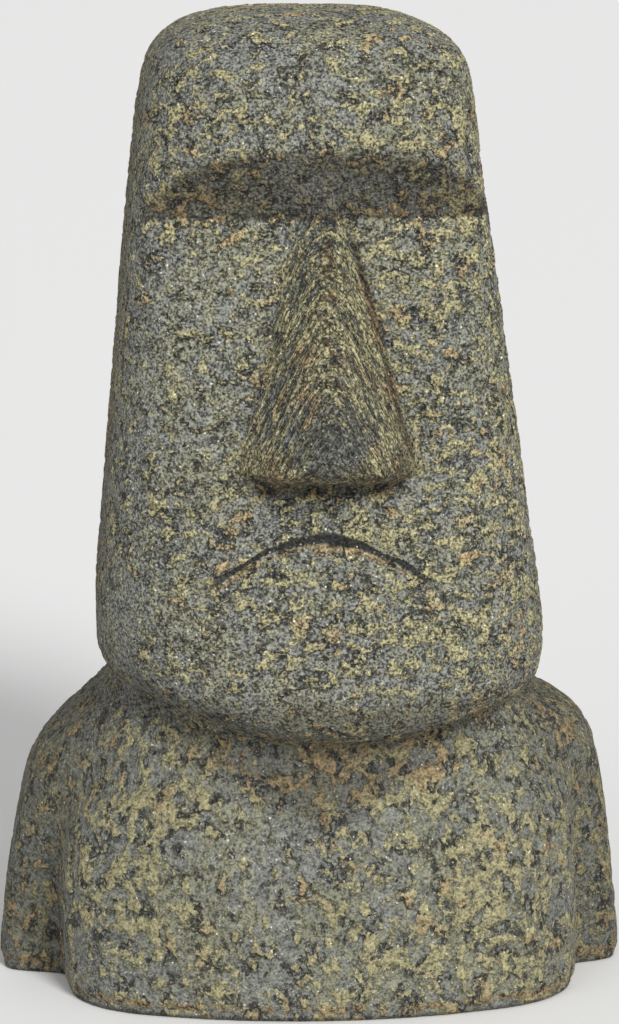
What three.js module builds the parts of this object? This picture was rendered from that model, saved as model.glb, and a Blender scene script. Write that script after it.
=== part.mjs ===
import * as THREE from 'three';

// A moai: a long stone head on a short bust with arm stubs, cut from one block and standing by its own weight.
// Millimetres, +Z up. The face looks along -Y, and +X is on the right of someone facing it.
// The stone is one closed loft: rows of points run round it from the foot to the crown, and columns run up it.
// A row is a rounded box section, and the face is then cut into the front of the rows.

// ---------------------------------------------------------------------------------------------
// Driving dimensions
// ---------------------------------------------------------------------------------------------

const HEIGHT = 500;

// Mesh layout: columns on each side of the middle line, counted from the front round to the back.
const SIDE_COLUMNS = 32;
const NOSE_COLUMN = 6;
const CORNER_START_COLUMN = 12;
const CORNER_END_COLUMN = 15;
const FLANK_COLUMN = 21;
const BACK_CORNER_COLUMN = 27;

// Where those columns stand, in radians from the true corner or flank, on the bust and on the head.
// Between the two heights they pass from one layout to the other.
const BUST_LAYOUT_TOP = 120;
const HEAD_LAYOUT_FOOT = 160;
const BUST_NOSE_COLUMN_SHARE = 0.42;
const BUST_CORNER_START = -0.06;
const BUST_GROOVE_GAP = 3;
const BUST_FLANK = -0.05;
const HEAD_CORNER_START = -0.16;
const HEAD_CORNER_END = 0.2;
const HEAD_FLANK = 0.02;

// The foot rim, a low band set back under the bust.
const RIM_HEIGHT = 4;
const RIM_INSET = 2.5;

// The main block, from the foot to the head: [height, size] pairs joined by a smooth curve.
const BLOCK_HALF_WIDTH = [
  [0, 133], [50, 133.5], [90, 131], [112, 126], [130, 117], [141, 109.5], [149, 103.5],
  [156, 110], [166, 113.5], [186, 113.5], [250, 106.5], [355, 94], [454, 82], [HEIGHT, 78],
];
const BLOCK_FRONT = [
  [0, 107], [70, 106], [105, 102], [128, 96], [143, 91], [149, 94], [155, 108], [163, 114.5],
  [182, 117.5], [215, 117.5], [260, 115], [330, 112], [405, 108], [430, 106.5], [HEIGHT, 98],
];
const BLOCK_BACK = [
  [0, 92], [90, 90], [135, 82], [160, 74], [200, 75], [330, 76], [430, 71], [HEIGHT, 66],
];
const BLOCK_SQUARENESS = [
  [0, 11], [60, 9], [105, 4.5], [130, 3.2], [160, 3.6], [190, 5], [260, 6.5], [400, 8], [HEIGHT, 7],
];
const BLOCK_FRONT_CROWNING = [[0, 0.27], [110, 0.2], [150, 0.16], [200, 0.14], [330, 0.1], [HEIGHT, 0.1]];
const BLOCK_MIDDLE = [[0, 3.5], [100, 2], [180, 2.5], [250, 0], [355, -3], [430, -5], [HEIGHT, -3]];

// The arm stubs, a second and wider box behind the chest.
const ARM_HALF_WIDTH = [
  [0, 165], [60, 158.5], [95, 153], [112, 149], [122, 143.5], [132, 131], [141, 113], [150, 96], [168, 60],
];
const ARM_FRONT = [[0, 38], [50, 40], [85, 50], [110, 66], [130, 78], [150, 84], [168, 80]];
const ARM_SQUARENESS = [[0, 6], [60, 5], [110, 3], [130, 2.6], [168, 2.4]];
const ARM_GROOVE_FILLET = [[0, 5], [60, 8], [100, 16], [168, 12]];
const SHOULDER_TILT = 0.05;

const SHOULDER_TILT_SPAN = [40, 100, 115, 150];

// The jaw edge, lower at the chin than along the sides and the nape.
// A span gives four heights: where an effect sets in, is full, starts to go, and is gone.
const JAW_SPAN = [96, 156, 156, 216];
const JAW_DIP_FRONT = -8;
const JAW_LIFT_SIDE = 8;
const JAW_FRONT_ANGLE = 0.15;
const JAW_SIDE_ANGLE = 0.95;
const JAW_TILT = -0.06;
const JAW_TILT_SPAN = [135, 160, 185, 240];

// The head is turned a little on the bust.
const HEAD_TURN = THREE.MathUtils.degToRad(1.5);
const NECK_LOW = 130;
const NECK_HIGH = 190;

// The crown, a domed top with rounded edges.
const CROWN_START = 452;
const CROWN_SQUARENESS = 3.15;
const CROWN_TILT = 0.012;

// Carving is at full depth on the front and fades out round the corners, as a share of the way forward.
const CARVING_FADE_SHARE = 0.35;
const CARVING_FULL_SHARE = 0.75;

// The brow: a forehead that overhangs, and the sloping band under it, which closes at its two ends.
const BROW_HEIGHT = 435;
const BROW_HALF_WIDTH = 83;
const BROW_END_DROP = 24;
const BROW_END_POWER = 9;
const BROW_BAND = 31;
const BROW_BAND_AT_ENDS = 9;
const BROW_ROW_SPAN = [360, 410, 430, 480];
const EYE_RECESS = 13;
const RECESS_FADE_HEIGHT = 250;
const RECESS_END_START = 64;
const RECESS_END = 85;
const RECESS_OPEN_LOW = 310;
const RECESS_OPEN_HIGH = 395;

// The nose, a wedge with a round tip, that spreads into two wings with steep outer edges.
// Shares are of the half-width, out from the ridge.
const NOSE_BASE = 277;
const NOSE_TIP_HEIGHT = 300;
const NOSE_ROOT = 424;
const NOSE_HEIGHT = [[277, 38], [290, 42], [304, 43], [350, 26], [404, 8], [NOSE_ROOT, 0]];
const NOSE_HALF_WIDTH = [[240, 44], [277, 44], [286, 43], [310, 34.5], [350, 24.5], [404, 16], [HEIGHT, 14]];
const NOSE_RIDGE_ROUNDNESS = 0.3;
const NOSE_TIP_BEND = 2.5;
const NOSE_TIP_RADIUS = 17;
const NOSE_TIP_SHARE = 0.1;
const NOSE_EDGE_STEEPNESS = [[250, 0.26], [290, 0.26], [330, 0.1], [404, 0]];
const NOSE_EDGE_POWER = 8;
const WING_SHARE = 0.7;
const WING_RADIUS = 9;
const WING_FOOT_LIFT = 9;
const WING_FOOT_END_SHARE = 1.1;

// The mouth: a thin down-turned line with a low lip above it and below it.
const MOUTH_HEIGHT = 246;
const MOUTH_HALF_WIDTH = 55;
const MOUTH_DROP = 20;
const MOUTH_LINE_END_SHARE = 1.15;
const MOUTH_END_START = 41;
const MOUTH_END = 59;
const MOUTH_GROOVE_DEPTH = 2.4;
const MOUTH_GROOVE_WIDTH = 3.2;
const LIP_PROUD = 1.1;
const LIP_WIDTH = 8;
const LIP_OFFSET = 5;
const MOUTH_ROW_SPAN = [198, 234, 242, 278];
const MOUTH_ROW_DROP = -8;
const MOUTH_ROW_LEVEL_START = 58;
const MOUTH_ROW_LEVEL = 100;

// Rows follow the mouth and the brow across the front, and are level again round the corner.
const ROW_BENT_ANGLE = 0.65;
const ROW_LEVEL_ANGLE = 1.3;

// Rows of the loft: each band runs up from the one before it, and the first from the foot rim.
// Two rows close together make the crisp turn under the nose.
const RIM_EDGE = 3;
const NOSE_BASE_EDGE = 0.5;
const ROW_BANDS = [
  { upTo: RIM_HEIGHT + RIM_EDGE, rows: 1 },
  { upTo: 104, rows: 10 },
  { upTo: 143, rows: 6 },
  { upTo: 164, rows: 6 },
  { upTo: 224, rows: 8 },
  { upTo: 252, rows: 8 },
  { upTo: NOSE_BASE - NOSE_BASE_EDGE, rows: 4 },
  { upTo: NOSE_BASE + NOSE_BASE_EDGE, rows: 1 },
  { upTo: 285, rows: 3 },
  { upTo: 404, rows: 14 },
  { upTo: 440, rows: 7 },
  { upTo: CROWN_START, rows: 2 },
];
const CROWN_ROWS = 7;

const STONE = { color: 0x6a6755, roughness: 0.9, metalness: 0 };

// ---------------------------------------------------------------------------------------------
// Small helpers
// ---------------------------------------------------------------------------------------------

const UP = new THREE.Vector3(0, 0, 1);

const mix = (a, b, t) => a + (b - a) * t;

function smoothStep(low, high, value) {
  const t = Math.min(1, Math.max(0, (value - low) / (high - low)));
  return t * t * (3 - 2 * t);
}

// Rises from 0 to 1 over the first two heights of a span, and falls back to 0 over the last two.
function within(span, height) {
  return smoothStep(span[0], span[1], height) * (1 - smoothStep(span[2], span[3], height));
}

// A smooth curve through [position, value] pairs that never overshoots them (monotone cubic).
function curveThrough(pairs) {
  const gap = pairs.slice(1).map((pair, i) => pair[0] - pairs[i][0]);
  const slope = pairs.slice(1).map((pair, i) => (pair[1] - pairs[i][1]) / gap[i]);
  const tangent = pairs.map((_, i) => {
    if (i === 0) return slope[0];
    if (i === pairs.length - 1) return slope[i - 1];
    if (slope[i - 1] * slope[i] <= 0) return 0;
    const before = 2 * gap[i] + gap[i - 1];
    const after = gap[i] + 2 * gap[i - 1];
    return (before + after) / (before / slope[i - 1] + after / slope[i]);
  });
  return (position) => {
    const last = pairs.length - 1;
    if (position <= pairs[0][0]) return pairs[0][1];
    if (position >= pairs[last][0]) return pairs[last][1];
    const i = pairs.findIndex((pair) => pair[0] > position) - 1;
    const t = (position - pairs[i][0]) / gap[i];
    const rise = pairs[i][1] * (1 + 2 * t) * (1 - t) ** 2 + pairs[i + 1][1] * t * t * (3 - 2 * t);
    return rise + gap[i] * (tangent[i] * t * (1 - t) ** 2 + tangent[i + 1] * t * t * (t - 1));
  };
}

const blockHalfWidth = curveThrough(BLOCK_HALF_WIDTH);
const blockFront = curveThrough(BLOCK_FRONT);
const blockBack = curveThrough(BLOCK_BACK);
const blockSquareness = curveThrough(BLOCK_SQUARENESS);
const blockCrowning = curveThrough(BLOCK_FRONT_CROWNING);
const blockMiddle = curveThrough(BLOCK_MIDDLE);
const armHalfWidth = curveThrough(ARM_HALF_WIDTH);
const armFront = curveThrough(ARM_FRONT);
const armSquareness = curveThrough(ARM_SQUARENESS);
const grooveFillet = curveThrough(ARM_GROOVE_FILLET);
const noseHeight = curveThrough(NOSE_HEIGHT);
const noseHalfWidth = curveThrough(NOSE_HALF_WIDTH);
const noseEdgeSteepness = curveThrough(NOSE_EDGE_STEEPNESS);

// ---------------------------------------------------------------------------------------------
// Sections
// ---------------------------------------------------------------------------------------------

// Distance from the axis to a rounded box, in the direction angle (0 at the front, PI at the back).
function boxRadius(angle, halfWidth, front, back, squareness) {
  const across = Math.abs(Math.sin(angle)) / halfWidth;
  const along = Math.abs(Math.cos(angle)) / (Math.cos(angle) > 0 ? front : back);
  return (across ** squareness + along ** squareness) ** (-1 / squareness);
}

// The larger of two sizes, with a fillet where they meet.
function filletedMax(a, b, fillet) {
  const overlap = Math.max(0, fillet - Math.abs(a - b)) / fillet;
  return Math.max(a, b) + (overlap * overlap * fillet) / 4;
}

// A point of the uncarved section at a loft height, on one side (-1 or +1) of the middle line.
function sectionPoint(side, angle, height) {
  const halfWidth = blockHalfWidth(height);
  const front = blockFront(height);
  const back = blockBack(height);
  const middle = blockMiddle(height);
  let radius = boxRadius(angle, halfWidth, front, back, blockSquareness(height));
  if (height < ARM_HALF_WIDTH.at(-1)[0]) {
    const armReach = armHalfWidth(height) - side * middle;
    const arm = boxRadius(angle, armReach, armFront(height), back, armSquareness(height));
    radius = filletedMax(radius, arm, grooveFillet(height));
  }
  const x = radius * Math.sin(angle);
  const y = -radius * Math.cos(angle);
  const crowning = y < 0 ? blockCrowning(height) * Math.min(1, x / halfWidth) ** 2 : 0;
  return { x: side * x, y: y * (1 - crowning) };
}

// The angle of a column at a loft height: columns follow the nose, the corners and the arm grooves.
function columnAngle(column, height) {
  const halfWidth = blockHalfWidth(height);
  const front = blockFront(height);
  const back = blockBack(height);
  const corner = Math.atan2(halfWidth, front);
  const inHead = smoothStep(BUST_LAYOUT_TOP, HEAD_LAYOUT_FOOT, height);
  const noseEdge = Math.atan2(noseHalfWidth(height), front);
  const groove = Math.atan2(halfWidth + BUST_GROOVE_GAP, armFront(height));
  const nose = mix(BUST_NOSE_COLUMN_SHARE * corner, noseEdge, inHead);
  const cornerStart = corner + mix(BUST_CORNER_START, HEAD_CORNER_START, inHead);
  const cornerEnd = mix(groove, corner + HEAD_CORNER_END, inHead);
  const flank = Math.PI / 2 + mix(BUST_FLANK, HEAD_FLANK, inHead);
  const backCorner = Math.PI - Math.atan2(mix(armHalfWidth(height), halfWidth, inHead), back);
  return curveThrough([
    [0, 0], [NOSE_COLUMN, nose], [CORNER_START_COLUMN, cornerStart], [CORNER_END_COLUMN, cornerEnd],
    [FLANK_COLUMN, flank], [BACK_CORNER_COLUMN, backCorner], [SIDE_COLUMNS, Math.PI],
  ])(column);
}

// ---------------------------------------------------------------------------------------------
// Lines on the face that rows follow
// ---------------------------------------------------------------------------------------------

function mouthLine(x) {
  const out = Math.min(MOUTH_LINE_END_SHARE, Math.abs(x) / MOUTH_HALF_WIDTH);
  return MOUTH_HEIGHT - MOUTH_DROP * out ** 2;
}

function browLine(x) {
  const out = Math.min(1, Math.abs(x) / BROW_HALF_WIDTH);
  return BROW_HEIGHT - BROW_END_DROP * out ** BROW_END_POWER;
}

// How far a row is moved up or down the front, so that it follows the mouth and the brow.
function rowSlide(angle, x, height) {
  const ahead = 1 - smoothStep(ROW_BENT_ANGLE, ROW_LEVEL_ANGLE, angle);
  const level = smoothStep(MOUTH_ROW_LEVEL_START, MOUTH_ROW_LEVEL, Math.abs(x));
  const mouth = (mouthLine(x) - MOUTH_HEIGHT - MOUTH_ROW_DROP) * (1 - level);
  const brow = browLine(x) - BROW_HEIGHT;
  return ahead * (mouth * within(MOUTH_ROW_SPAN, height) + brow * within(BROW_ROW_SPAN, height));
}

// How far the stone itself rises or falls from its loft height, at the jaw edge and the shoulders.
function loftLift(angle, x, height) {
  const round = smoothStep(JAW_FRONT_ANGLE, JAW_SIDE_ANGLE, angle);
  const jaw = mix(JAW_DIP_FRONT, JAW_LIFT_SIDE, round) * within(JAW_SPAN, height);
  const jawTilt = JAW_TILT * within(JAW_TILT_SPAN, height);
  const shoulderTilt = SHOULDER_TILT * within(SHOULDER_TILT_SPAN, height);
  return jaw + (jawTilt + shoulderTilt) * x;
}

// ---------------------------------------------------------------------------------------------
// Carving: each function gives how far the stone stands out (+) or is cut back (-) at the front
// ---------------------------------------------------------------------------------------------

function eyeRecess(x, z) {
  const bandFoot = BROW_HEIGHT - BROW_BAND;
  const band = Math.max(BROW_BAND_AT_ENDS, browLine(x) - bandFoot);
  const under = smoothStep(0, band, browLine(x) - z);
  const fade = (z - RECESS_FADE_HEIGHT) / (bandFoot - RECESS_FADE_HEIGHT);
  const depth = EYE_RECESS * under * Math.min(1, Math.max(0, fade));
  const closed = smoothStep(RECESS_END_START, RECESS_END, Math.abs(x));
  return -depth * (1 - closed * smoothStep(RECESS_OPEN_LOW, RECESS_OPEN_HIGH, z));
}

function nose(x, z) {
  const bend = NOSE_TIP_BEND * (1 - smoothStep(NOSE_TIP_HEIGHT, NOSE_ROOT, z));
  const out = Math.min(1, Math.abs(x - bend) / noseHalfWidth(z));
  const rounded = Math.hypot(out, NOSE_RIDGE_ROUNDNESS) - NOSE_RIDGE_ROUNDNESS;
  const wedge = 1 - rounded / (Math.hypot(1, NOSE_RIDGE_ROUNDNESS) - NOSE_RIDGE_ROUNDNESS);
  const steepEdged = 1 - out ** NOSE_EDGE_POWER;
  const proud = noseHeight(z) * mix(wedge, steepEdged, noseEdgeSteepness(z));
  const foot = NOSE_BASE + WING_FOOT_LIFT * smoothStep(WING_SHARE, WING_FOOT_END_SHARE, out);
  const radius = mix(NOSE_TIP_RADIUS, WING_RADIUS, smoothStep(NOSE_TIP_SHARE, WING_SHARE, out));
  const above = Math.min(1, Math.max(0, (z - foot) / radius));
  return proud * Math.sqrt(1 - (1 - above) ** 2);
}

function mouth(x, z) {
  const along = 1 - smoothStep(MOUTH_END_START, MOUTH_END, Math.abs(x));
  const above = z - mouthLine(x);
  const groove = Math.exp(-((above / MOUTH_GROOVE_WIDTH) ** 2));
  const lip = Math.exp(-(((Math.abs(above) - LIP_OFFSET) / LIP_WIDTH) ** 2));
  return along * (LIP_PROUD * lip - MOUTH_GROOVE_DEPTH * groove);
}

// ---------------------------------------------------------------------------------------------
// The loft
// ---------------------------------------------------------------------------------------------

// A point of the carved surface on a signed column and at a loft height.
function surfacePoint(column, height) {
  const side = Math.sign(column) || 1;
  const angle = columnAngle(Math.abs(column), height);
  const slid = height + rowSlide(angle, sectionPoint(side, angle, height).x, height);
  const { x, y } = sectionPoint(side, angle, slid);
  const z = slid + loftLift(angle, x, slid);
  const depth = smoothStep(CARVING_FADE_SHARE, CARVING_FULL_SHARE, -y / blockFront(slid));
  const proud = eyeRecess(x, z) + nose(x, z) + mouth(x, z);
  const point = new THREE.Vector3(x, y - depth * proud, z);
  point.applyAxisAngle(UP, HEAD_TURN * smoothStep(NECK_LOW, NECK_HIGH, slid));
  point.x += blockMiddle(slid);
  return point;
}

// A full ring of surface points, anticlockwise seen from above, starting at the front.
function ring(pointAt) {
  const points = [];
  for (let column = 0; column < 2 * SIDE_COLUMNS; column += 1) {
    const signed = column <= SIDE_COLUMNS ? column : column - 2 * SIDE_COLUMNS;
    points.push(pointAt(signed));
  }
  return points;
}

function rimRing(height) {
  return ring((column) => {
    const point = surfacePoint(column, RIM_HEIGHT);
    const outward = new THREE.Vector2(point.x, point.y);
    outward.setLength(outward.length() - RIM_INSET);
    return new THREE.Vector3(outward.x, outward.y, height);
  });
}

// A ring on the crown: the ring at its start, drawn in and raised along a superellipse.
function crownRing(step) {
  const turn = (step / CROWN_ROWS) * (Math.PI / 2);
  const scale = Math.cos(turn) ** (2 / CROWN_SQUARENESS);
  const rise = Math.sin(turn) ** (2 / CROWN_SQUARENESS) * (HEIGHT - CROWN_START);
  const height = CROWN_START + rise;
  return ring((column) => {
    const point = surfacePoint(column, height);
    return new THREE.Vector3(point.x * scale, point.y * scale, height - CROWN_TILT * point.x * scale);
  });
}

function loftRings() {
  const rings = [rimRing(0), rimRing(RIM_HEIGHT)];
  let start = RIM_HEIGHT;
  for (const band of ROW_BANDS) {
    for (let row = 1; row <= band.rows; row += 1) {
      const height = mix(start, band.upTo, row / band.rows);
      rings.push(ring((column) => surfacePoint(column, height)));
    }
    start = band.upTo;
  }
  for (let step = 1; step < CROWN_ROWS; step += 1) {
    rings.push(crownRing(step));
  }
  return rings;
}

// Joins the rings into one closed body with a flat foot and a single point at the top of the crown.
function closedLoft(rings, bottom, top) {
  const count = rings[0].length;
  const points = [...rings.flat(), bottom, top];
  const bottomIndex = points.length - 2;
  const topIndex = points.length - 1;
  const faces = [];
  for (let column = 0; column < count; column += 1) {
    const next = (column + 1) % count;
    for (let row = 0; row < rings.length - 1; row += 1) {
      const low = row * count;
      const high = low + count;
      faces.push(low + column, low + next, high + next, low + column, high + next, high + column);
    }
    const lastRow = (rings.length - 1) * count;
    faces.push(bottomIndex, next, column);
    faces.push(lastRow + column, lastRow + next, topIndex);
  }
  const geometry = new THREE.BufferGeometry().setFromPoints(points);
  geometry.setIndex(faces);
  return geometry;
}

function moaiStatue() {
  const rings = loftRings();
  const geometry = closedLoft(rings, new THREE.Vector3(0, 0, 0), new THREE.Vector3(0, 0, HEIGHT));
  geometry.computeBoundingBox();
  const middle = geometry.boundingBox.getCenter(new THREE.Vector3());
  geometry.translate(-middle.x, -middle.y, 0);
  geometry.computeVertexNormals();
  const mesh = new THREE.Mesh(geometry, new THREE.MeshStandardMaterial(STONE));
  mesh.name = 'moai_statue';
  return mesh;
}

const group = new THREE.Group();
group.add(moaiStatue());

export default group;
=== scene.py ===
"""A moai stone head, sand-cast and dry-brushed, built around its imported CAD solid.

Metres, +Z up, the face looking along -Y. The CAD solid gives the form. This script makes its finished skin:
the solid is copied, smoothed, cut into a fine mesh and given its crust of raised flakes, and a procedural
material colours that crust from the same noise fields that raised it.
"""

import math

import bmesh
import bpy
import numpy as np
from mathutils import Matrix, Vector


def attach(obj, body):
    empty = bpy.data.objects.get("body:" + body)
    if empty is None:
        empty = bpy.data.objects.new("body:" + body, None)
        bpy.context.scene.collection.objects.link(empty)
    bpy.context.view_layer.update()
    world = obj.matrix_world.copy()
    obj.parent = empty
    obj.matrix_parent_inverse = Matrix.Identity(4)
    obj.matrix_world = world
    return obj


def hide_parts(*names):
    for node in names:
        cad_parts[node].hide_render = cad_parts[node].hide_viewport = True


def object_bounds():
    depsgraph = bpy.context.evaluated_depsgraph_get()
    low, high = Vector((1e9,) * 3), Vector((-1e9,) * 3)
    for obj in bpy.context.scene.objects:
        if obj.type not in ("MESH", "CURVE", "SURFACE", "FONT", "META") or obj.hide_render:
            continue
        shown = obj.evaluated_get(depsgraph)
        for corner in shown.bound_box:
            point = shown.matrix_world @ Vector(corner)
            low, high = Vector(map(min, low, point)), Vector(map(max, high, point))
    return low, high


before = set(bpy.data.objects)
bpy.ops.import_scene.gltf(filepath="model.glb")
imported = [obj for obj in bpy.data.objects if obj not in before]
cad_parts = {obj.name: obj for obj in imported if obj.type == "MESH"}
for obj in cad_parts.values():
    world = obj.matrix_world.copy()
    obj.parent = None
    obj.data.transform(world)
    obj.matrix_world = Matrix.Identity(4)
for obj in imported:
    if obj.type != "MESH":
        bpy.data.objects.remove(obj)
cad_low, cad_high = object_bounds()

NODE = "moai_statue"
MM = 0.001

# ---------------------------------------------------------------------------------------------
# Sizes and colours
# ---------------------------------------------------------------------------------------------

HEIGHT = cad_high.z
NECK_HEIGHT = 0.29 * HEIGHT

# The mesh of the skin.
MERGE_DISTANCE = 0.01 * MM
FOOT_CREASE = 0.75
SMOOTHING_LEVELS = 2
VOXEL = 1.35 * MM
BLUR_STEPS = 30
SKIN_TRIANGLES = 198000

# A pair of values is a range: a mask passes smoothly from one of its levels to the other between the two.

# The crust, in metres: how far each part of it stands from the smooth form.
FLAKE_RISE = 0.55 * MM
FLAKE_DOME = 2.5 * MM
CREVICE_DEPTH = 0.5 * MM
UNEVENNESS = 0.8 * MM
UNEVEN_MIDDLE = 0.62
FOOT_CLEAR = (0.5 * MM, 5 * MM)
NOSE_RELIEF_CUT = 0.5
SIDE_DEPTH = (-60 * MM, 0)
SIDE_RELIEF = 0.6

# The scales of the noises, in cells per metre, and how far two of them push the crust's pattern about.
RICHNESS_SCALE = 22
UNEVEN_SCALE = 24
WASH_SCALE = 26
WARMTH_SCALE = 55
BEND_SCALE = 60
MOUTH_SCALE = 90
BREAK_SCALE = 110
ISLAND_SCALE = 145
MOTTLE_SCALE = 150
LINE_SCALE = 190
SPECK_SCALE = 330
MEDIUM_SCALE = 360
FRAY_SCALE = 420
FINE_SCALE = 800
BEND_REACH = 9 * MM
FRAY_REACH = 1.8 * MM

# The crust runs level across the face, upright below the neck, and down both sides of the nose.
HEAD_STRETCH = 1.35
BODY_STRETCH = 0.8
NOSE_STRETCH = 1.60
NOSE_SLOPE = 2.0
NOSE_ROUND = 10 * MM

# The nose, a band that widens from its root to its foot.
NOSE_X = 3 * MM
NOSE_ROOT = 405 * MM
NOSE_FOOT = 280 * MM
NOSE_ROOT_HALF_WIDTH = 12 * MM
NOSE_FOOT_HALF_WIDTH = 44 * MM
NOSE_SOFTNESS = 4 * MM
NOSE_DEPTH = (-74 * MM, -60 * MM)
NOSE_TIP = (0.006, -0.119, 0.303)

# How much of the surface the flakes cover.
FLAKE_THRESHOLD = 0.535
RICHNESS_DRIFT = 0.20
RICHNESS_ACROSS = (-100 * MM, 80 * MM)
LEFT_RICHNESS = -0.025
RIGHT_RICHNESS = 0.010
PROUD_EDGE = (0.6 * MM, 2.2 * MM)
EDGE_RICHNESS = 0.06
NOSE_RICHNESS = 0.11

# The places with fewer or more flakes: centre, size and amount.
SPOTS = [
    ((-0.010, -0.072, 0.469), (0.050, 0.05, 0.040), -0.04),
    ((-0.064, -0.072, 0.335), (0.040, 0.05, 0.075), -0.06),
    ((-0.035, -0.075, 0.078), (0.060, 0.05, 0.045), -0.07),
    (NOSE_TIP, (0.028, 0.03, 0.024), -0.22),
    ((-0.030, -0.098, 0.290), (0.022, 0.03, 0.009), 0.20),
    ((0.040, -0.090, 0.284), (0.014, 0.03, 0.008), 0.16),
    ((0.000, -0.084, 0.163), (0.110, 0.06, 0.013), -0.07),
    ((0.000, -0.074, 0.418), (0.066, 0.03, 0.018), -0.07),
    ((0.053, -0.084, 0.199), (0.070, 0.05, 0.040), 0.03),
    ((-0.071, -0.068, 0.410), (0.018, 0.03, 0.018), 0.08),
    ((0.072, -0.062, 0.408), (0.020, 0.03, 0.022), 0.08),
    ((-0.100, -0.060, 0.085), (0.045, 0.05, 0.080), 0.08),
    ((0.000, -0.060, 0.128), (0.100, 0.05, 0.028), 0.05),
    ((0.095, -0.066, 0.070), (0.050, 0.05, 0.060), 0.04),
]
SPOT_EDGE = (0.35, 1.0)

# The edge of a flake, the bare ground beside it, and the crevices there, in steps of the island noise.
FLAKE_EDGE = (-0.015, 0.020)
BESIDE_FLAKE = (-0.15, -0.03)
FLAKE_FOOT = 0.045
FLAKE_FOOT_HALF_WIDTH = (0.010, 0.030)
FLAKE_FOOT_CREVICE = 0.7
LINE_HALF_WIDTH = (0.018, 0.065)
BREAKS = (0.46, 0.56)
NOSE_CREVICE = 0.62

# The front of the figure, and the dark band under the brow, dark paint and painted shade under its
# overhang, between its level lower edge and its arched upper one.
FRONT = (-40 * MM, -20 * MM)
BROW_LOW = 402 * MM
BROW_LOW_EDGE = (BROW_LOW - 1 * MM, BROW_LOW + 1 * MM)
BROW_HIGH = 435 * MM
BROW_HIGH_EDGE = (-2 * MM, 3 * MM)
BROW_END = 86 * MM
BROW_DROP = 31 * MM
BROW_CURVE = 4.0
BROW_PAINT_AND_SHADE = 0.84

# The other darkened places, each with how strongly it is darkened, from 0 to 1; the notes below say where
# this is painted shade and where it is the dark first coat.
# Painted shade on surfaces that face down.
FACING_DOWN = (0.25, 0.60)
UNDERSIDE_SHADE = 0.60
# The dark first coat and painted shade in hollows.
HOLLOW = (-1.5 * MM, -0.3 * MM)
HOLLOW_COAT_AND_SHADE = 0.70
TIP_SIZE = (0.025, 0.030, 0.025)
TIP_STAIN = 0.55
# Painted shadow under the chin, with the brown of the first coat, in a wedge down the neck.
NECK_WEDGE_SLOPE = 0.55
NECK_FOOT = (84 * MM, 112 * MM)
NECK_TOP = (160 * MM, 175 * MM)
NECK_SHADOW_AND_COAT = 0.68
# Painted shade on the flanks and the back, darker on the left.
FLANK_DEPTH = (-55 * MM, 5 * MM)
FLANK_TOP = (440 * MM, 490 * MM)
FLANK_ACROSS = (-100 * MM, 100 * MM)
LEFT_FLANK_SHADE = 0.55
RIGHT_FLANK_SHADE = 0.38
RIDGE_HALF_WIDTH = (1.5 * MM, 5.5 * MM)
RIDGE_FOOT = (322 * MM, 336 * MM)
RIDGE_TOP = (390 * MM, 402 * MM)
RIDGE_BREAKS = (0.44, 0.54)
RIDGE_STAIN = 0.85
# Painted shade along the right side of the nose.
GROOVE_INSET = 2 * MM
GROOVE_HALF_WIDTH = (0.8 * MM, 3.0 * MM)
GROOVE_FOOT = (284 * MM, 292 * MM)
GROOVE_TOP = (385 * MM, 400 * MM)
GROOVE_SHADE = 0.8
# A painted shadow line under the nose.
NOSTRIL_HALF_WIDTH = (30 * MM, 42 * MM)
NOSTRIL_FOOT = (268 * MM, 273 * MM)
NOSTRIL_TOP = (279 * MM, 283 * MM)
# Darker along the bottom few millimetres.
RIM_TOP = (1.5 * MM, 3.5 * MM)
RIM_DARKENING = 0.8

# The mouth's arch: its crown and how fast it falls to both sides, its dark line of painted shade and its
# pale lower lip, tan with a painted highlight.
MOUTH_CROWN = 248 * MM
MOUTH_FALL = 8.0
MOUTH_END = 60 * MM
MOUTH_ENDS = (0.75 * MOUTH_END, MOUTH_END)
MOUTH_WOBBLE = 4 * MM
MOUTH_MIDDLE = (10 * MM, 28 * MM)
MOUTH_THICK = 3.4 * MM
MOUTH_THIN = 1.8 * MM
MOUTH_EDGE = (0.45, 1.0)
LIP_DROP = 2.4 * MM
LIP_HALF_WIDTH = (0.9 * MM, 2.0 * MM)
LIP_BREAKS = (0.36, 0.50)
LIP_LEAST = 0.3

# Colours are linear RGB.
SLATE = (0.190, 0.194, 0.170, 1)
OLIVE = (0.216, 0.214, 0.150, 1)
KHAKI = (0.262, 0.240, 0.132, 1)
TAN = (0.270, 0.205, 0.108, 1)
SPECK = (0.62, 0.62, 0.55, 1)
# The dark brown of the first coat, a factor that also gives the painted shade.
FIRST_COAT_AND_SHADE = (0.34, 0.32, 0.29)
BLACK = (0.012, 0.012, 0.012, 1)
FLOOR = (0.93, 0.93, 0.925, 1)
FLOOR_ROUGHNESS = 0.8

# Where each coat of the paint lies.
WASH_ON_FLAKES = 0.5
WASH_DRIFT = 0.7
WASH_EDGE = (0.34, 0.58)
PAINT_FRAY = 0.22
PAINT_EDGE = (-0.012, 0.040)
COAT_AND_SHADE_WARMTH = 0.22
TAN_EDGE = (0.54, 0.70)
FOOT_LINE = 6.5 * MM
FOOT_LINE_HALF_WIDTH = (1.2 * MM, 3.2 * MM)
FOOT_LINE_BREAKS = (0.42, 0.50)
# Black paint and painted shade in the crevices.
CREVICE_POWER = 0.75
CREVICE_SHADE_AND_BLACK = 0.94
SPECK_RADIUS = (0.10, 0.18)
SPECK_CHOICE = (0.25, 0.60)
SPECK_STRENGTH = 0.85

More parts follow.
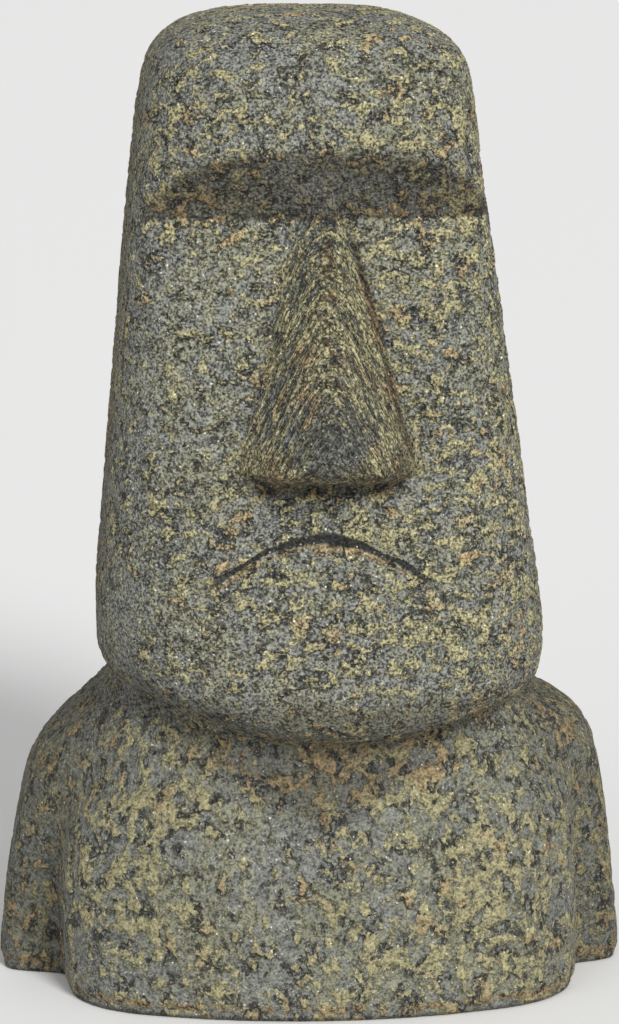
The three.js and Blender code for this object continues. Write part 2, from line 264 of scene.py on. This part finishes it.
# The tone of the sand grain, with painted shade and painted light over the crust's relief, the nose, the
# sides and the crown, as a factor on the colour.
FACE_FOOT = (120 * MM, 180 * MM)
BODY_GRIT = 0.35
FACE_GRIT = 0.35
FINE_GRAIN = (0.33, 0.67)
MEDIUM_GRAIN = (0.30, 0.70)
MEDIUM_GRIT = 0.42
# Painted shade in the low places of the crust and painted light on its high ones, stronger on the nose,
# which is also given painted light all over.
ISLAND_GRAIN = (0.36, 0.60)
ISLAND_PAINTED_SHADE = -0.17
ISLAND_PAINTED_LIGHT = 0.05
NOSE_SHADING_CONTRAST = 1.2
NOSE_PAINTED_LIGHT = 0.12
# Painted shade towards both sides of the figure and painted light on the crown.
LEFT_SHADE = (-110 * MM, -20 * MM)
RIGHT_SHADE = (90 * MM, 120 * MM)
SIDE_PAINTED_SHADE = 0.90
CROWN = (475 * MM, 495 * MM)
CROWN_PAINTED_LIGHT = 1.12
DARKEST_TONE = 0.22

# The bump of the material, in millimetres, and its roughness in the pits and on the grains.
FINE_BUMP = 0.6
MEDIUM_BUMP = 1.0
PAINT_BUMP = 0.55
ISLAND_BUMP = 2.0
NOSE_BUMP = 2.0
CREVICE_BUMP = 0.8
PIT_ROUGHNESS = 0.92
GRAIN_ROUGHNESS = 0.68
ROUGHNESS_GRAIN = (0.3, 0.7)

# The camera: azimuth 0 looks along +Y.
CAMERA_AZIMUTH = math.radians(-3)
CAMERA_ELEVATION = math.radians(11.6)
CAMERA_DISTANCE = 1.6
CAMERA_TARGET = Vector((-0.0015, 0, 0.2457))
CAMERA_LENS = 110.57
CAMERA_SENSOR = 36
CAMERA_CLIP = (0.01, 100)

# The studio: its floor, its even white surroundings, and its soft lamps as name, azimuth, elevation,
# spread and strength, with the angles in degrees.
FLOOR_REACH = 60.0
SURROUND_STRENGTH = 0.45
LAMPS = [
    ("key", 22, 34, 18, 2.2),
    ("fill", -40, 25, 40, 0.35),
]


# ---------------------------------------------------------------------------------------------
# Node graphs: the same calls build geometry nodes and shader nodes
# ---------------------------------------------------------------------------------------------


class Graph:
    """Adds nodes to a tree. An input is a plain value or another node's output socket."""

    def __init__(self, tree):
        self.tree = tree

    def node(self, kind, inputs, **settings):
        made = self.tree.nodes.new(kind)
        for name, value in settings.items():
            setattr(made, name, value)
        for key, value in inputs.items():
            self.plug(made.inputs[key], value)
        return made

    def plug(self, socket, value):
        if isinstance(value, bpy.types.NodeSocket):
            self.tree.links.new(value, socket)
        else:
            socket.default_value = value

    def math(self, operation, a, b=0.0, c=0.0):
        return self.node("ShaderNodeMath", {0: a, 1: b, 2: c}, operation=operation).outputs[0]

    def vector(self, operation, a, b):
        return self.node("ShaderNodeVectorMath", {0: a, 1: b}, operation=operation).outputs[0]

    def scaled(self, a, factor):
        return self.node("ShaderNodeVectorMath", {0: a, "Scale": factor}, operation="SCALE").outputs[0]

    def noise(self, place, scale, detail=2.0, roughness=0.5, output=0):
        inputs = {"Vector": place, "Scale": scale, "Detail": detail, "Roughness": roughness}
        return self.node("ShaderNodeTexNoise", inputs).outputs[output]

    def product(self, first, *others):
        for other in others:
            first = self.math("MULTIPLY", first, other)
        return first

    def step(self, value, low, high, to_low=0.0, to_high=1.0):
        """A smooth step: to_low where value is under low, to_high where it is over high."""
        inputs = {"Value": value, "From Min": low, "From Max": high, "To Min": to_low, "To Max": to_high}
        return self.node("ShaderNodeMapRange", inputs, interpolation_type="SMOOTHSTEP").outputs["Result"]

    def fall(self, value, low, high, to_low=1.0, to_high=0.0):
        """A smooth step down: to_low where value is under low, to_high where it is over high."""
        return self.step(value, low, high, to_low, to_high)

    def between(self, value, low_range, high_range):
        """1 between two ranges and 0 outside them."""
        return self.math("MULTIPLY", self.step(value, *low_range), self.fall(value, *high_range))

    def mixed(self, factor, a, b):
        return self.node("ShaderNodeMix", {"Factor": factor, "A": a, "B": b}).outputs[0]

    def blend(self, factor, a, b):
        """Colour a where the factor is 0, colour b where it is 1."""
        made = self.node("ShaderNodeMix", {"Factor": factor}, data_type="RGBA")
        sockets = [s for s in made.inputs if s.type == "RGBA"]
        self.plug(sockets[0], a)
        self.plug(sockets[1], b)
        return next(s for s in made.outputs if s.type == "RGBA")

    def axes(self, place):
        return self.node("ShaderNodeSeparateXYZ", {0: place}).outputs

    def centred(self, colour):
        """Noise from 0 to 1 as a vector from -0.5 to 0.5."""
        return self.vector("SUBTRACT", colour, (0.5, 0.5, 0.5))

    def spot(self, place, centre, size):
        """1 at the centre of an ellipsoid, falling to 0 at its surface."""
        away = self.vector("DIVIDE", self.vector("SUBTRACT", place, centre), size)
        length = self.node("ShaderNodeVectorMath", {0: away}, operation="LENGTH").outputs["Value"]
        return self.fall(length, *SPOT_EDGE)


def crust_noise(graph, rest, level):
    """The islands and the lines of the crust, stretched by what stands for the height."""
    across = graph.vector("MULTIPLY", rest, (1, 1, 0))
    flow = graph.vector("ADD", across, graph.vector("MULTIPLY", level, (0, 0, 1)))
    bend = graph.scaled(graph.centred(graph.noise(rest, BEND_SCALE, 1, output=1)), BEND_REACH)
    fray = graph.scaled(graph.centred(graph.noise(rest, FRAY_SCALE, 1, output=1)), FRAY_REACH)
    place = graph.vector("ADD", graph.vector("ADD", flow, bend), fray)
    island = graph.noise(place, ISLAND_SCALE, 3, 0.55)
    line = graph.math("ABSOLUTE", graph.math("SUBTRACT", graph.noise(place, LINE_SCALE, 2, 0.5), 0.5))
    return island, line


def nose_half_width(graph, z):
    slope = (NOSE_FOOT_HALF_WIDTH - NOSE_ROOT_HALF_WIDTH) / (NOSE_ROOT - NOSE_FOOT)
    below_root = graph.math("SUBTRACT", NOSE_ROOT, z)
    return graph.math("MULTIPLY_ADD", below_root, slope, NOSE_ROOT_HALF_WIDTH)


def nose_mask(graph, x, y, z):
    """1 on the nose, 0 off it, with soft edges."""
    aside = graph.math("ABSOLUTE", graph.math("SUBTRACT", x, NOSE_X))
    inside = graph.math("SUBTRACT", nose_half_width(graph, z), aside)
    foot = (NOSE_FOOT - NOSE_SOFTNESS, NOSE_FOOT + NOSE_SOFTNESS)
    root = (NOSE_ROOT - NOSE_SOFTNESS, NOSE_ROOT + NOSE_SOFTNESS)
    return graph.product(
        graph.step(inside, -NOSE_SOFTNESS, NOSE_SOFTNESS),
        graph.step(z, *foot),
        graph.fall(z, *root),
        graph.fall(y, *NOSE_DEPTH),
    )


def crust_level(graph, x, z, nose):
    """What the crust's pattern takes for the height: it bends round the nose and changes at the neck."""
    above_neck = graph.math("MAXIMUM", graph.math("SUBTRACT", z, NECK_HEIGHT), 0.0)
    below_neck = graph.math("MULTIPLY", graph.math("MINIMUM", z, NECK_HEIGHT), BODY_STRETCH)
    level = graph.math("MULTIPLY_ADD", above_neck, HEAD_STRETCH, below_neck)
    aside = graph.math("SUBTRACT", x, NOSE_X)
    aside = graph.math("SQRT", graph.math("MULTIPLY_ADD", aside, aside, NOSE_ROUND * NOSE_ROUND))
    slanted = graph.math("MULTIPLY", graph.math("MULTIPLY_ADD", aside, NOSE_SLOPE, z), NOSE_STRETCH)
    on_nose = graph.math("GREATER_THAN", nose, 0.5)
    return graph.mixed(on_nose, level, slanted)


def crust_richness(graph, rest, proud, nose):
    """How much more than usual of a place the flakes cover."""
    x = graph.axes(rest)[0]
    drift = graph.math("SUBTRACT", graph.noise(rest, RICHNESS_SCALE, 1), 0.5)
    rich = graph.math("MULTIPLY", drift, RICHNESS_DRIFT)
    rich = graph.math("ADD", rich, graph.step(x, *RICHNESS_ACROSS, LEFT_RICHNESS, RIGHT_RICHNESS))
    rich = graph.math("ADD", rich, graph.step(proud, *PROUD_EDGE, 0.0, EDGE_RICHNESS))
    rich = graph.math("MULTIPLY_ADD", nose, NOSE_RICHNESS, rich)
    for centre, size, amount in SPOTS:
        rich = graph.math("MULTIPLY_ADD", graph.spot(rest, centre, size), amount, rich)
    return rich


def crust_fields(graph, rest, proud):
    """The noise fields of the crust at a place on the smooth form, for the relief and for the colour."""
    x, y, z = graph.axes(rest)
    nose = nose_mask(graph, x, y, z)
    island, line = crust_noise(graph, rest, crust_level(graph, x, z, nose))
    rich = crust_richness(graph, rest, proud, nose)
    over = graph.math("ADD", graph.math("SUBTRACT", island, FLAKE_THRESHOLD), rich)
    flake = graph.step(over, *FLAKE_EDGE)

    # Crevices follow the lines on the ground beside the flakes, and the foot of the flakes themselves.
    beside = graph.math("SUBTRACT", graph.step(over, *BESIDE_FLAKE), flake)
    broken = graph.step(graph.noise(rest, BREAK_SCALE, 1), *BREAKS)
    on_face = graph.math("MULTIPLY", beside, broken)
    drawn = graph.math("MAXIMUM", on_face, graph.math("MULTIPLY", nose, NOSE_CREVICE))
    crevice = graph.math("MULTIPLY", graph.fall(line, *LINE_HALF_WIDTH), drawn)
    from_foot = graph.math("ABSOLUTE", graph.math("ADD", over, FLAKE_FOOT))
    foot = graph.fall(from_foot, *FLAKE_FOOT_HALF_WIDTH, FLAKE_FOOT_CREVICE)
    crevice = graph.math("MAXIMUM", crevice, graph.math("MULTIPLY", foot, broken))
    return {"over": over, "flake": flake, "crevice": crevice, "nose": nose, "island": island}


def brow_band_paint_and_shade(graph, x, z, front):
    # Dark paint and painted shade in the band under the brow.
    squared = graph.math("DIVIDE", graph.math("ABSOLUTE", x), BROW_END)
    fallen = graph.math("MULTIPLY_ADD", graph.math("POWER", squared, BROW_CURVE), -BROW_DROP, BROW_HIGH)
    under_arch = graph.step(graph.math("SUBTRACT", fallen, z), *BROW_HIGH_EDGE)
    return graph.product(under_arch, graph.step(z, *BROW_LOW_EDGE), front, BROW_PAINT_AND_SHADE)


def nose_paint_and_shade(graph, rest, front, mottle):
    """The dark tip, the broken dark line down the ridge, painted shade in the groove along the right side
    and a painted shadow line underneath.
    """
    x, y, z = graph.axes(rest)
    aside = graph.math("SUBTRACT", x, NOSE_X)
    beside = graph.math("ABSOLUTE", aside)
    tip = graph.math("MULTIPLY", graph.spot(rest, NOSE_TIP, TIP_SIZE), TIP_STAIN)
    ridge = graph.product(
        graph.fall(beside, *RIDGE_HALF_WIDTH),
        front,
        graph.between(z, RIDGE_FOOT, RIDGE_TOP),
        graph.fall(mottle, *RIDGE_BREAKS, RIDGE_STAIN),
    )
    # Painted shade along the right side of the nose.
    from_side = graph.math("SUBTRACT", aside, nose_half_width(graph, z))
    from_groove = graph.math("ABSOLUTE", graph.math("ADD", from_side, GROOVE_INSET))
    right_side_shade = graph.product(
        graph.fall(from_groove, *GROOVE_HALF_WIDTH, GROOVE_SHADE),
        front,
        graph.between(z, GROOVE_FOOT, GROOVE_TOP),
    )
    # A painted shadow line under the nose.
    nostril_shadow = graph.product(
        graph.fall(beside, *NOSTRIL_HALF_WIDTH),
        front,
        graph.between(z, NOSTRIL_FOOT, NOSTRIL_TOP),
    )
    return tip, ridge, right_side_shade, nostril_shadow


def coat_and_shade_mask(graph, rest, down, proud, mottle):
    """How strongly each part of the surface is darkened, from 0 to 1: painted shade in some places, the
    dark first coat in others, both in the band under the brow and in the hollows.
    """
    x, y, z = graph.axes(rest)
    front = graph.fall(y, *FRONT)
    # Painted shade on undersides.
    under = graph.step(down, *FACING_DOWN, 0.0, UNDERSIDE_SHADE)
    # The dark first coat and painted shade in hollows.
    hollow = graph.fall(proud, *HOLLOW, HOLLOW_COAT_AND_SHADE)
    # Painted shadow under the chin, with the brown of the first coat.
    wedge = graph.math("MULTIPLY_ADD", graph.math("ABSOLUTE", x), -NECK_WEDGE_SLOPE, z)
    neck_shadow_and_coat = graph.product(graph.step(wedge, *NECK_FOOT), graph.fall(z, *NECK_TOP, NECK_SHADOW_AND_COAT))
    # Painted shade on the flanks and the back.
    flank_shade = graph.product(
        graph.step(y, *FLANK_DEPTH),
        graph.fall(z, *FLANK_TOP),
        graph.step(x, *FLANK_ACROSS, LEFT_FLANK_SHADE, RIGHT_FLANK_SHADE),
    )
    # Darker along the bottom few millimetres.
    rim = graph.fall(z, *RIM_TOP, RIM_DARKENING)
    coat_and_shade = brow_band_paint_and_shade(graph, x, z, front)
    for other in (under, hollow, neck_shadow_and_coat, flank_shade, rim, *nose_paint_and_shade(graph, rest, front, mottle)):
        coat_and_shade = graph.math("MAXIMUM", coat_and_shade, other)
    return coat_and_shade


def mouth_masks(graph, rest):
    """The line of painted shade between the lips and the pale edge of the lower lip, tan paint with a
    painted highlight.
    """
    x, y, z = graph.axes(rest)
    away = graph.math("ABSOLUTE", x)
    arch = graph.math("MULTIPLY_ADD", graph.math("MULTIPLY", x, x), -MOUTH_FALL, MOUTH_CROWN)
    across = graph.math("MULTIPLY", graph.fall(y, *FRONT), graph.fall(away, *MOUTH_ENDS))
    wobble = graph.noise(rest, MOUTH_SCALE, 1)
    above = graph.math("SUBTRACT", z, arch)
    above = graph.math("MULTIPLY_ADD", graph.math("SUBTRACT", wobble, 0.5), MOUTH_WOBBLE, above)

    # The line lies just above the arch and is thickest in the middle.
    thick = graph.step(away, *MOUTH_MIDDLE, MOUTH_THICK, MOUTH_THIN)
    from_middle = graph.math("SUBTRACT", above, graph.math("MULTIPLY", thick, 0.5))
    share = graph.math("DIVIDE", graph.math("ABSOLUTE", from_middle), thick)
    line = graph.math("MULTIPLY", graph.fall(share, *MOUTH_EDGE), across)

    below = graph.math("ABSOLUTE", graph.math("ADD", above, LIP_DROP))
    lip_paint_and_highlight = graph.math("MULTIPLY", graph.fall(below, *LIP_HALF_WIDTH), across)
    lip_paint_and_highlight = graph.math("MULTIPLY", lip_paint_and_highlight, graph.step(wobble, *LIP_BREAKS, LIP_LEAST, 1.0))
    return line, lip_paint_and_highlight


# ---------------------------------------------------------------------------------------------
# The skin
# ---------------------------------------------------------------------------------------------


def smooth_form(node):
    """A copy of the CAD solid as quads, with its foot edge creased, smoothed by subdivision."""
    mesh = node.data.copy()
    mesh.materials.clear()
    bm = bmesh.new()
    bm.from_mesh(mesh)
    bmesh.ops.remove_doubles(bm, verts=bm.verts, dist=MERGE_DISTANCE)
    bmesh.ops.join_triangles(
        bm, faces=bm.faces, cmp_seam=False, cmp_sharp=False, cmp_uvs=False, cmp_vcols=False,
        cmp_materials=False, angle_face_threshold=math.pi, angle_shape_threshold=math.pi,
    )
    crease = bm.edges.layers.float.new("crease_edge")
    for edge in bm.edges:
        under = [face for face in edge.link_faces if face.normal.z < -0.99]
        if len(under) == 1 and edge.verts[0].co.z < MM:
            edge[crease] = FOOT_CREASE
    bm.to_mesh(mesh)
    bm.free()
    form = bpy.data.objects.new("moai_stone", mesh)
    bpy.context.scene.collection.objects.link(form)
    smoothing = form.modifiers.new("smooth", "SUBSURF")
    smoothing.levels = SMOOTHING_LEVELS
    smoothing.render_levels = SMOOTHING_LEVELS
    apply_modifiers(form)
    return form


def apply_modifiers(piece):
    """Puts the mesh that the modifiers make in the place of the piece's own mesh."""
    graph = bpy.context.evaluated_depsgraph_get()
    evaluated = piece.evaluated_get(graph)
    made = bpy.data.meshes.new_from_object(evaluated, preserve_all_data_layers=True, depsgraph=graph)
    old = piece.data
    piece.modifiers.clear()
    piece.data = made
    bpy.data.meshes.remove(old)


def relief_tree():
    """Geometry nodes that keep each point's place as "rest" and then move it by the crust's height."""
    tree = bpy.data.node_groups.new("crust relief", "GeometryNodeTree")
    tree.interface.new_socket("Geometry", in_out="INPUT", socket_type="NodeSocketGeometry")
    tree.interface.new_socket("Geometry", in_out="OUTPUT", socket_type="NodeSocketGeometry")
    graph = Graph(tree)
    start = graph.node("NodeGroupInput", {})
    end = graph.node("NodeGroupOutput", {})
    rest = graph.node("GeometryNodeInputPosition", {}).outputs[0]
    normal = graph.node("GeometryNodeInputNormal", {}).outputs[0]
    kept = graph.node(
        "GeometryNodeStoreNamedAttribute", {"Geometry": start.outputs[0], "Name": "rest", "Value": rest},
        data_type="FLOAT_VECTOR", domain="POINT",
    )
    proud = graph.node("GeometryNodeInputNamedAttribute", {"Name": "proud"}, data_type="FLOAT").outputs[0]
    fields = crust_fields(graph, rest, proud)
    x, y, z = graph.axes(rest)
    drift = graph.math("SUBTRACT", graph.noise(rest, UNEVEN_SCALE, 2), UNEVEN_MIDDLE)
    uneven = graph.math("MULTIPLY", drift, UNEVENNESS)
    rise = graph.math("MULTIPLY", graph.math("SUBTRACT", fields["flake"], 1.0), FLAKE_RISE)
    dome = graph.math("MULTIPLY", graph.math("MAXIMUM", fields["over"], 0.0), FLAKE_DOME)
    sunk = graph.math("MULTIPLY", fields["crevice"], -CREVICE_DEPTH)
    crust = graph.math("ADD", graph.math("ADD", rise, dome), sunk)
    off_nose = graph.math("MULTIPLY_ADD", fields["nose"], -NOSE_RELIEF_CUT, 1.0)
    crust = graph.product(crust, off_nose, graph.fall(y, *SIDE_DEPTH, 1.0, SIDE_RELIEF))
    height = graph.math("MULTIPLY", graph.math("ADD", uneven, crust), graph.step(z, *FOOT_CLEAR))
    offset = graph.scaled(normal, height)
    moved = graph.node("GeometryNodeSetPosition", {"Geometry": kept.outputs[0], "Offset": offset})
    tree.links.new(moved.outputs[0], end.inputs[0])
    return tree


def crusted_skin(node):
    """The finished mesh: the smooth form at voxel size, with its crust, under the triangle limit."""
    skin = smooth_form(node)
    remesh = skin.modifiers.new("even mesh", "REMESH")
    remesh.mode = "VOXEL"
    remesh.voxel_size = VOXEL
    apply_modifiers(skin)
    measure_form(skin)
    relief = skin.modifiers.new("crust", "NODES")
    relief.node_group = relief_tree()
    apply_modifiers(skin)
    count = sum(len(face.vertices) - 2 for face in skin.data.polygons)
    if count > SKIN_TRIANGLES:
        thin = skin.modifiers.new("thin out", "DECIMATE")
        thin.ratio = SKIN_TRIANGLES / count
        apply_modifiers(skin)
    keep_in_box(skin)
    for face in skin.data.polygons:
        face.use_smooth = True
    return skin


def measure_form(piece):
    """Stores two values at each point.

    "proud" is how far it stands out from a blurred copy of the form: over 0 on edges, under 0 in hollows.
    "down" is 1 where the surface faces down and -1 where it faces up.
    """
    sharp = places_of(piece.data)
    blur = piece.modifiers.new("blur", "SMOOTH")
    blur.factor = 0.5
    blur.iterations = BLUR_STEPS
    graph = bpy.context.evaluated_depsgraph_get()
    blurred = bpy.data.meshes.new_from_object(piece.evaluated_get(graph), depsgraph=graph)
    piece.modifiers.clear()
    normals = np.empty(len(blurred.vertices) * 3)
    blurred.vertices.foreach_get("normal", normals)
    proud = ((sharp - places_of(blurred)) * normals.reshape(-1, 3)).sum(axis=1)
    bpy.data.meshes.remove(blurred)
    store(piece, "proud", proud)
    form_normals = np.empty(len(piece.data.vertices) * 3)
    piece.data.vertices.foreach_get("normal", form_normals)
    store(piece, "down", -form_normals.reshape(-1, 3)[:, 2])


def store(piece, name, values):
    attribute = piece.data.attributes.new(name, "FLOAT", "POINT")
    attribute.data.foreach_set("value", values.astype(np.float32))


def places_of(mesh):
    places = np.empty(len(mesh.vertices) * 3)
    mesh.vertices.foreach_get("co", places)
    return places.reshape(-1, 3)


def keep_in_box(piece):
    """Holds every point inside the CAD box."""
    mesh = piece.data
    places = np.clip(places_of(mesh), np.array(cad_low), np.array(cad_high))
    mesh.vertices.foreach_set("co", places.ravel())
    mesh.update()


# ---------------------------------------------------------------------------------------------
# Materials
# ---------------------------------------------------------------------------------------------


def stone_colour(graph, rest, fields, painted, crevice, lip_paint_and_highlight, coat_and_shade, grains):
    """The coats of paint, from the bare casting up, with painted shade in the crevices and between the
    lips, and tan with a painted highlight on the lower lip.
    """
    over = fields["over"]
    mottle = grains["mottle"]

    # The casting is slate grey under a thin olive wash.
    wash = graph.math("MULTIPLY_ADD", over, WASH_ON_FLAKES, mottle)
    drift = graph.math("SUBTRACT", graph.noise(rest, WASH_SCALE, 1), 0.5)
    wash = graph.math("MULTIPLY_ADD", drift, WASH_DRIFT, wash)
    colour = graph.blend(graph.step(wash, *WASH_EDGE), SLATE, OLIVE)

    # Khaki and tan lie on the raised flakes, tan with a painted highlight on the lower lip and tan along
    # the foot; there is more tan where the dark coat and painted shade lie.
    warmth = graph.math("MULTIPLY_ADD", coat_and_shade, COAT_AND_SHADE_WARMTH, graph.noise(rest, WARMTH_SCALE, 1))
    paint = graph.blend(graph.step(warmth, *TAN_EDGE), KHAKI, TAN)
    colour = graph.blend(painted, colour, paint)
    colour = graph.blend(lip_paint_and_highlight, colour, TAN)
    from_line = graph.math("ABSOLUTE", graph.math("SUBTRACT", graph.axes(rest)[2], FOOT_LINE))
    foot_line = graph.fall(from_line, *FOOT_LINE_HALF_WIDTH)
    foot_line = graph.math("MULTIPLY", foot_line, graph.step(mottle, *FOOT_LINE_BREAKS))
    colour = graph.blend(foot_line, colour, TAN)

    # Black paint and painted shade darken the crevices and the foot of each flake, painted shade darkens
    # the line between the lips, and pale sand grains show as specks.
    crevice_shade = graph.math("MULTIPLY", graph.math("POWER", crevice, CREVICE_POWER), CREVICE_SHADE_AND_BLACK)
    colour = graph.blend(crevice_shade, colour, BLACK)
    cells = graph.node("ShaderNodeTexVoronoi", {"Vector": rest, "Scale": SPECK_SCALE}).outputs
    chosen = graph.step(graph.axes(cells["Color"])[0], *SPECK_CHOICE)
    speck = graph.product(graph.fall(cells["Distance"], *SPECK_RADIUS), chosen, SPECK_STRENGTH)
    return graph.blend(speck, colour, SPECK)


def sand_tone(graph, rest, fields, grains):
    """The tone of the sand, with painted shade and painted light, as a factor on the colour: it runs
    through paint and bare casting alike.
    """
    x, y, z = graph.axes(rest)
    grit = graph.math("MULTIPLY_ADD", graph.step(z, *FACE_FOOT), FACE_GRIT, BODY_GRIT)
    tone = graph.math("MULTIPLY_ADD", graph.step(grains["fine"], *FINE_GRAIN, -1.0, 1.0), grit, 1.0)
    medium = graph.step(grains["medium"], *MEDIUM_GRAIN, -1.0, 1.0)
    tone = graph.math("MULTIPLY_ADD", medium, MEDIUM_GRIT, tone)

    # Painted light on the islands and painted shade in the ground between them, stronger on the nose, which
    # is also given painted light all over; then painted shade towards both sides and painted light on the
    # crown.
    island = graph.step(fields["island"], *ISLAND_GRAIN, ISLAND_PAINTED_SHADE, ISLAND_PAINTED_LIGHT)
    on_nose = graph.math("MULTIPLY", island, NOSE_SHADING_CONTRAST)
    contrast = graph.math("MULTIPLY_ADD", fields["nose"], on_nose, graph.math("ADD", island, 1.0))
    tone = graph.product(
        tone,
        contrast,
        graph.math("MULTIPLY_ADD", fields["nose"], NOSE_PAINTED_LIGHT, 1.0),
        graph.step(x, *LEFT_SHADE, SIDE_PAINTED_SHADE, 1.0),
        graph.fall(x, *RIGHT_SHADE, 1.0, SIDE_PAINTED_SHADE),
        graph.step(z, *CROWN, 1.0, CROWN_PAINTED_LIGHT),
    )
    return graph.math("MAXIMUM", tone, DARKEST_TONE)


def stone_height(graph, fields, painted, crevice, grains):
    """The bump of the material, in millimetres."""
    island = graph.math("MULTIPLY_ADD", fields["nose"], NOSE_BUMP, ISLAND_BUMP)
    height = graph.math("MULTIPLY", grains["fine"], FINE_BUMP)
    height = graph.math("MULTIPLY_ADD", grains["medium"], MEDIUM_BUMP, height)
    height = graph.math("MULTIPLY_ADD", painted, PAINT_BUMP, height)
    height = graph.math("MULTIPLY_ADD", fields["island"], island, height)
    return graph.math("MULTIPLY_ADD", crevice, -CREVICE_BUMP, height)


def stone_material():
    material = bpy.data.materials.new("stone")
    material.use_nodes = True
    tree = material.node_tree
    tree.nodes.clear()
    graph = Graph(tree)
    rest = graph.node("ShaderNodeAttribute", {}, attribute_name="rest").outputs["Vector"]
    proud = graph.node("ShaderNodeAttribute", {}, attribute_name="proud").outputs["Fac"]
    down = graph.node("ShaderNodeAttribute", {}, attribute_name="down").outputs["Fac"]
    fields = crust_fields(graph, rest, proud)
    grains = {
        "fine": graph.noise(rest, FINE_SCALE, 1, 0.6),
        "medium": graph.noise(rest, MEDIUM_SCALE, 2, 0.65),
        "mottle": graph.noise(rest, MOTTLE_SCALE, 2, 0.6),
    }

    # The paint lies on the raised flakes, and its edges fray into the grain.
    grain = graph.math("SUBTRACT", grains["medium"], 0.5)
    painted = graph.step(graph.math("MULTIPLY_ADD", grain, PAINT_FRAY, fields["over"]), *PAINT_EDGE)
    line, lip_paint_and_highlight = mouth_masks(graph, rest)
    crevice = graph.math("MAXIMUM", fields["crevice"], line)
    coat_and_shade = coat_and_shade_mask(graph, rest, down, proud, grains["mottle"])
    colour = stone_colour(graph, rest, fields, painted, crevice, lip_paint_and_highlight, coat_and_shade, grains)
    colour = graph.scaled(colour, sand_tone(graph, rest, fields, grains))

    # The mask darkens the colour towards the dark brown of the first coat: painted shade on undersides,
    # under the chin, on the flanks, along the nose's right side and under the nose; the first coat on the
    # nose's tip and ridge; both in hollows and in the band under the brow; and darker along the foot.
    colour = graph.blend(coat_and_shade, colour, graph.vector("MULTIPLY", colour, FIRST_COAT_AND_SHADE))

    height = stone_height(graph, fields, painted, crevice, grains)
    bump = graph.node("ShaderNodeBump", {"Height": height, "Strength": 1.0, "Distance": MM})
    roughness = graph.fall(grains["fine"], *ROUGHNESS_GRAIN, PIT_ROUGHNESS, GRAIN_ROUGHNESS)
    shader = graph.node(
        "ShaderNodeBsdfPrincipled",
        {"Base Color": colour, "Roughness": roughness, "Normal": bump.outputs[0]},
    )
    output = graph.node("ShaderNodeOutputMaterial", {"Surface": shader.outputs[0]})
    output.is_active_output = True
    return material


def floor_material():
    material = bpy.data.materials.new("floor")
    material.use_nodes = True
    shader = material.node_tree.nodes["Principled BSDF"]
    shader.inputs["Base Color"].default_value = FLOOR
    shader.inputs["Roughness"].default_value = FLOOR_ROUGHNESS
    return material


# ---------------------------------------------------------------------------------------------
# The studio
# ---------------------------------------------------------------------------------------------


def direction(azimuth, elevation):
    """The unit vector from the object towards something at this azimuth and elevation, in front at 0, 0."""
    level = math.cos(elevation)
    return Vector((math.sin(azimuth) * level, -math.cos(azimuth) * level, math.sin(elevation)))


def make_camera():
    data = bpy.data.cameras.new("camera")
    data.lens = CAMERA_LENS
    data.sensor_width = CAMERA_SENSOR
    camera = bpy.data.objects.new("camera", data)
    bpy.context.scene.collection.objects.link(camera)
    back = direction(CAMERA_AZIMUTH, CAMERA_ELEVATION)
    camera.location = CAMERA_TARGET + back * CAMERA_DISTANCE
    camera.rotation_mode = "QUATERNION"
    camera.rotation_quaternion = (-back).to_track_quat("-Z", "Y")
    data.clip_start, data.clip_end = CAMERA_CLIP
    bpy.context.scene.camera = camera


def softbox(name, azimuth, elevation, spread, strength):
    """A soft parallel light from an azimuth and elevation, in degrees, seen as in the camera's angles."""
    data = bpy.data.lights.new(name, "SUN")
    data.angle = math.radians(spread)
    data.energy = strength
    lamp = bpy.data.objects.new(name, data)
    away = direction(math.radians(azimuth), math.radians(elevation))
    lamp.rotation_mode = "QUATERNION"
    lamp.rotation_quaternion = (-away).to_track_quat("-Z", "Y")
    bpy.context.scene.collection.objects.link(lamp)


def make_studio():
    mesh = bpy.data.meshes.new("floor")
    corners = [(FLOOR_REACH * x, FLOOR_REACH * y, 0) for x, y in ((-1, -1), (1, -1), (1, 1), (-1, 1))]
    mesh.from_pydata(corners, [], [(0, 1, 2, 3)])
    floor = bpy.data.objects.new("floor", mesh)
    bpy.context.scene.collection.objects.link(floor)
    mesh.materials.append(floor_material())

    world = bpy.data.worlds.new("studio")
    world.use_nodes = True
    background = world.node_tree.nodes["Background"]
    background.inputs["Color"].default_value = (1, 1, 1, 1)
    background.inputs["Strength"].default_value = SURROUND_STRENGTH
    bpy.context.scene.world = world
    for lamp in LAMPS:
        softbox(*lamp)
    bpy.context.scene.view_settings.view_transform = "Standard"


# ---------------------------------------------------------------------------------------------
# The object
# ---------------------------------------------------------------------------------------------

make_camera()
make_studio()

statue = crusted_skin(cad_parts[NODE])
statue.data.materials.append(stone_material())
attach(statue, "root")
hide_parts(NODE)
